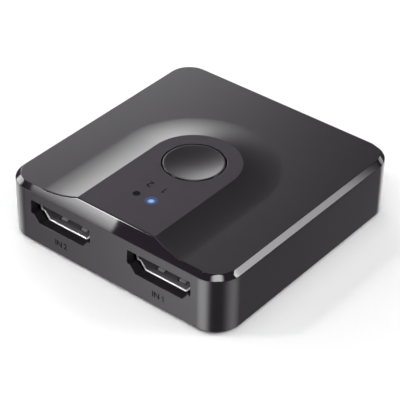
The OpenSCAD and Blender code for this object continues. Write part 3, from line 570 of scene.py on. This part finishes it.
# %% Receptacle shells
FINGER_X, FINGER_HALF, FINGER_TIP, FINGER_ROOT, FINGER_REACH = 2.7, 0.76, 1.7, 5.55, 2.7
FLARE, RIM_EDGE = 0.26, 0.08
BURNISHED_HIGHLIT, SCUFFED_HIGHLIT = 1, 2


def on_finger(off, inwards):
    """If a place, by its offset from the port's middle and its depth in mm, is on one of the spring fingers."""
    across = abs(abs(off.x) - FINGER_X) < FINGER_HALF and abs(off.z) < FINGER_REACH
    return across and FINGER_TIP < inwards < FINGER_ROOT


def on_rim(a, b, rim_y, inner):
    """If an edge of the rim, by its two ends' offsets from the port's middle, is on its inner or its outer line."""
    at_rim = abs(a.y - rim_y) < NEAR and abs(b.y - rim_y) < NEAR
    inside = all(abs(end.x) < PORT_W / 2 + 0.05 and abs(end.z) < PORT_H / 2 + 0.05 for end in (a, b))
    return at_rim and inside == inner


for name, node in (("shell_in_1", "input_1_shell"), ("shell_in_2", "input_2_shell"), ("shell_out", "output_shell")):
    shell = copy_of(node, name, flat_faces=False)
    low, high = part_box(node)
    rim_y = (low.y if low.y < 0 else high.y) / MM
    middle = Vector(((low.x + high.x) / 2 / MM, 0, PORT_Z))
    round_edges(shell, lambda a, b: on_rim(a - middle, b - middle, rim_y, True), FLARE, 40, 6)
    round_edges(shell, lambda a, b: on_rim(a - middle, b - middle, rim_y, False), RIM_EDGE, 40)
    put_on(shell, metals["tin_plated_steel"], metals["burnished_highlit_tin"], metals["scuffed_highlit_tin"])
    # Rims and fingers get the paler tin: partly wear, partly painted highlight.
    for face in shell.data.polygons:
        inwards = abs(face.center.y / MM - rim_y)
        if inwards < FLARE + NEAR:
            face.material_index = BURNISHED_HIGHLIT
        elif on_finger(face.center / MM - middle, inwards):
            face.material_index = SCUFFED_HIGHLIT
    smooth(shell)
    settle(shell, "case", "port_steel", node)

# %% [markdown]
# ### Feet
# A foot is a soft disc glued into a recess: turned, with a full radius at its lower edge. It is made once and
# copied to the four corners.

# %% Feet
FOOT_X, FOOT_Y = 17.5, 18.3
FOOT_R, FOOT_TOP, FOOT_EDGE = 4, 1.3, 0.45
foot_section = [
    (0, 0), *arc((FOOT_R - FOOT_EDGE, FOOT_EDGE), FOOT_EDGE, -90, 0, 6), (FOOT_R, FOOT_TOP), (0, FOOT_TOP),
]
feet = turned("feet", (FOOT_X, FOOT_Y), foot_section, 64)
alone(feet)
bpy.ops.object.mode_set(mode="EDIT")
bpy.ops.mesh.select_all(action="SELECT")
bpy.ops.mesh.duplicate_move(TRANSFORM_OT_translate={"value": (-2 * FOOT_X * MM, 0, 0)})
bpy.ops.mesh.select_all(action="SELECT")
bpy.ops.mesh.duplicate_move(TRANSFORM_OT_translate={"value": (0, -2 * FOOT_Y * MM, 0)})
bpy.ops.object.mode_set(mode="OBJECT")
put_on(feet, rubber)
smooth(feet)
settle(feet, "case", "foot", "rubber_feet")

# %% [markdown]
# ### Pieces that keep their CAD shape
# The bottom cover, the screws, the insulators and contacts, and all that sits on the board keep their nodes. Each
# node gets the finish that belongs to it.

# %% Finishes of the CAD nodes
KEPT = {
    "bottom_cover": textured, "cover_screws": metals["blackened_steel"], "board_screws": metals["zinc_plated_steel"],
    "circuit_board": board, "lamp_1": small["lamp_lens"], "lamp_2": small["lamp_lens"],
    "key_base": small["moulded_key_body"], "key_plunger": small["moulded_key_body"],
    "key_cover": metals["stainless_steel"], "key_dome": metals["stainless_steel"], "key_terminals": metals["dull_tin"],
    "switch_chip": small["moulded_epoxy"], "switch_chip_pads": metals["dull_tin"],
    "control_chip": small["moulded_epoxy"], "control_chip_leads": metals["dull_tin"],
    "regulator": small["moulded_epoxy"], "regulator_leads": metals["dull_tin"],
    "surge_arrays": small["moulded_epoxy"], "capacitors": small["capacitor_ceramic"],
    "resistors": small["resistor_glaze"],
}
for port in ("input_1", "input_2", "output"):
    KEPT[port + "_insulator"] = small["moulded_insulator"]
    KEPT[port + "_contacts"] = metals["gold_plated_bronze"]
for node, material in KEPT.items():
    put_on(nodes[node], material)
print("finished", len(KEPT), "CAD nodes")

# %% [markdown]
# ### Markings
# Each light has its plain number beside it, and each port a short plain label below it. Blender's own text makes the
# outlines, which become thin meshes before they are turned and moved, so that the place is in the mesh. Its figure 1
# is a bare stroke that reads like a capital I, so that figure is drawn with a flag: a line round it, filled and
# thickened.

# %% Tools for markings
PRINT_MM = 0.004
CAPITAL = 0.7


def letters(words, tall_mm, bold_mm):
    """Printed letters as a thin mesh, flat on the floor round the origin, their strokes thickened a little."""
    bpy.ops.object.select_all(action="DESELECT")
    bpy.ops.object.text_add()
    text = bpy.context.object.data
    text.body = words
    text.size = tall_mm * MM / CAPITAL
    text.extrude = PRINT_MM / 2 * MM
    text.offset = bold_mm * MM
    text.align_x = "CENTER"
    text.align_y = "CENTER"
    bpy.ops.object.convert(target="MESH")
    return bpy.context.object


def figure_one(tall_mm, stroke_mm):
    """A printed 1 with a flag, as a thin mesh of the same kind."""
    h, x, s = tall_mm / 2, tall_mm * 0.05, stroke_mm / 2
    line = [(x - s, -h), (x + s, -h), (x + s, h), (x - 0.6 * s, h), (x - 0.5 * h, 0.6 * h), (x - 0.5 * h, 0.3 * h),
            (x - s, 0.55 * h)]
    piece = drawn("figure", [(a, b, -PRINT_MM / 2) for a, b in line])
    bpy.ops.mesh.edge_face_add()
    bpy.ops.mesh.extrude_region_move(TRANSFORM_OT_translate={"value": (0, 0, PRINT_MM * MM)})
    bpy.ops.mesh.select_all(action="SELECT")
    bpy.ops.mesh.normals_make_consistent(inside=False)
    bpy.ops.object.mode_set(mode="OBJECT")
    return piece


def marking(name, parts, turns, centre_mm):
    """Joins parts, each moved along X in mm, and prints them: turned about X and then Z by degrees, at a place."""
    for part, along in parts:
        part.location.x = along * MM
    alone(parts[0][0])
    for part, _ in parts:
        part.select_set(True)
    bpy.ops.object.transform_apply(location=True, rotation=True, scale=True)
    if len(parts) > 1:
        bpy.ops.object.join()
    piece = bpy.context.object
    piece.name = name
    piece.rotation_euler = (math.radians(turns[0]), 0, math.radians(turns[1]))
    piece.location = [c * MM for c in centre_mm]
    bpy.ops.object.transform_apply(location=True, rotation=True, scale=True)
    put_on(piece, ink)
    settle(piece, "case", "housing")


# %% Markings
NUMBER_TALL, NUMBER_Y = 1.75, -13.9
LABEL_TALL, LABEL_BOLD, LABEL_Z = 1.35, 0.04, 3.55
WORD_X, FIGURE_X = -0.65, 1.15
ON_PAD, ON_FRONT, ON_BACK = (0, 180), (90, 0), (90, 180)
marking("number_1", [(figure_one(NUMBER_TALL, 0.24), 0)], ON_PAD, (1.71, NUMBER_Y, PAD_Z))
marking("number_2", [(letters("2", NUMBER_TALL, 0.035), 0)], ON_PAD, (-1.86, NUMBER_Y, PAD_Z))
marking("label_in_1", [
    (letters("IN", LABEL_TALL, LABEL_BOLD), WORD_X), (figure_one(LABEL_TALL, 0.21), FIGURE_X),
], ON_FRONT, (PORT_X, -WALL_Y, LABEL_Z))
marking("label_in_2", [
    (letters("IN", LABEL_TALL, LABEL_BOLD), WORD_X), (letters("2", LABEL_TALL, LABEL_BOLD), FIGURE_X),
], ON_FRONT, (-PORT_X, -WALL_Y, LABEL_Z))
marking("label_out", [(letters("OUT", LABEL_TALL, LABEL_BOLD), 0)], ON_BACK, (0, WALL_Y, LABEL_Z))

# %% [markdown]
# ## Stage
# A black object shows little colour of its own: what we see on it is mostly the room. So each softbox is placed by
# what a face mirrors towards the camera. A wide one behind on the left brightens the left of the top and the hollow
# slope, and one behind on the right draws the right bevel. A narrow leaning one in front on the left, bright above
# and dim below, draws half of the front bevel with its slanted end, and two in front draw the rims of the ports, one
# their lower edges and one their slanted ends. The gap between these two keeps the top dark from behind. The one
# overhead lights the floor. The walls are upright, so from above they mirror what is under the level of the floor:
# there the photograph shows soft bands on a dark ground, as of a box held up between lamps. So the floor, white by
# its own colour, isn't mirrored, and low softboxes under it draw these bands.

# %% Floor and world
bpy.ops.object.select_all(action="DESELECT")
bpy.ops.mesh.primitive_plane_add(size=6, location=(0, 0, 0))
floor = bpy.context.object
floor.name = "floor"
white, tree, shader, place = new_finish("matt_white_floor", "#fcfcfc", Roughness=1.0)
shader.inputs["Specular IOR Level"].default_value = 0
put_on(floor, white)
floor.visible_glossy = False

world = bpy.data.worlds.new("studio")
world.use_nodes = True
bpy.context.scene.world = world
sky = world.node_tree.nodes["Background"]
sky.inputs["Color"].default_value = linear("#ffffff")
sky.inputs["Strength"].default_value = 0.12
bpy.context.scene.view_settings.view_transform = "Standard"


# %% Lamps
def softbox(name, azimuth, elevation, distance, wide, tall, brightness, soft=0.02, rise=0.02, lean=0):
    """A rectangular lamp that faces the box. Azimuth is from the front towards the right, in degrees.
    Brightness is relative to a white sheet in plain light, at the edge of least azimuth and at that of most.
    Soft is the part of the width over which the cloth darkens towards each of these edges, rise the part of the
    height over which it brightens from its lower edge, and lean turns it about its middle, in degrees."""
    a, e = math.radians(azimuth), math.radians(elevation)
    way = Vector((math.sin(a) * math.cos(e), -math.cos(a) * math.cos(e), math.sin(e)))
    bpy.ops.object.select_all(action="DESELECT")
    bpy.ops.object.light_add(type="AREA", location=way * distance + looked_at)
    lamp = bpy.context.object
    lamp.name = name
    lamp.data.shape = "RECTANGLE"
    lamp.data.size, lamp.data.size_y = wide, tall
    lamp.data.energy = math.pi * wide * tall
    facing = way.to_track_quat("Z", "Y").to_matrix() @ Matrix.Rotation(math.radians(lean), 3, "Z")
    lamp.rotation_euler = facing.to_euler()
    lamp.visible_camera = False
    lamp.data.use_nodes = True
    tree = lamp.data.node_tree
    place = add(tree, "ShaderNodeNewGeometry", {}).outputs["Parametric"]
    across = add(tree, "ShaderNodeSeparateXYZ", {"Vector": place})
    fade = add(tree, "ShaderNodeMapRange", {
        "Value": across.outputs["X"], "To Min": brightness[0], "To Max": brightness[1],
    })
    inside = add(tree, "ShaderNodeMath", {0: across.outputs["X"], 1: 0.5}, operation="PINGPONG")
    sides = add(tree, "ShaderNodeMapRange", {"Value": inside.outputs["Value"], "From Max": soft},
                interpolation_type="SMOOTHSTEP")
    foot = add(tree, "ShaderNodeMapRange", {"Value": across.outputs["Y"], "From Max": rise})
    faded = add(tree, "ShaderNodeMath", {0: fade.outputs["Result"], 1: sides.outputs["Result"]}, operation="MULTIPLY")
    risen = add(tree, "ShaderNodeMath", {0: faded.outputs["Value"], 1: foot.outputs["Result"]}, operation="MULTIPLY")
    tree.links.new(risen.outputs["Value"], tree.nodes["Emission"].inputs["Strength"])


softbox("top", 0, 86, 0.8, 0.5, 0.5, (2, 2))
softbox("corner", 42.5, 49, 0.8, 0.62, 0.14, (10, 12), soft=0.35)
softbox("back_left", -123.5, 14.5, 0.7, 0.65, 0.35, (3.5, 6.2), soft=0.2)
softbox("back_right", 126.1, 30, 0.7, 0.335, 0.2, (16.5, 4.4), soft=0.09)
softbox("back", 160, 13, 0.7, 0.25, 0.15, (3.2, 3.2))
softbox("left", -76, 15, 0.7, 0.44, 0.3, (8, 8), soft=0.3)
softbox("front_left", -47.88, 42.23, 0.9, 0.0684, 0.285, (22, 38), soft=0.04, rise=0.172, lean=31)
softbox("front", -33, 13, 0.7, 0.36, 0.28, (4, 4), soft=0.1)
softbox("front_right", 17, 13, 0.7, 0.24, 0.28, (4, 4), soft=0.1)
softbox("low_front", -12, -33, 0.7, 0.66, 0.3, (7.3, 7.4), soft=0.3, lean=-20)
softbox("low_right", 99, -36, 0.7, 0.84, 0.3, (2.5, 2.7), soft=0.5)
softbox("low_back", 179, -34, 0.7, 0.54, 0.3, (3.2, 2.6), soft=0.5)
softbox("low_left", -86, -35, 0.7, 0.5, 0.3, (2.6, 1.2))
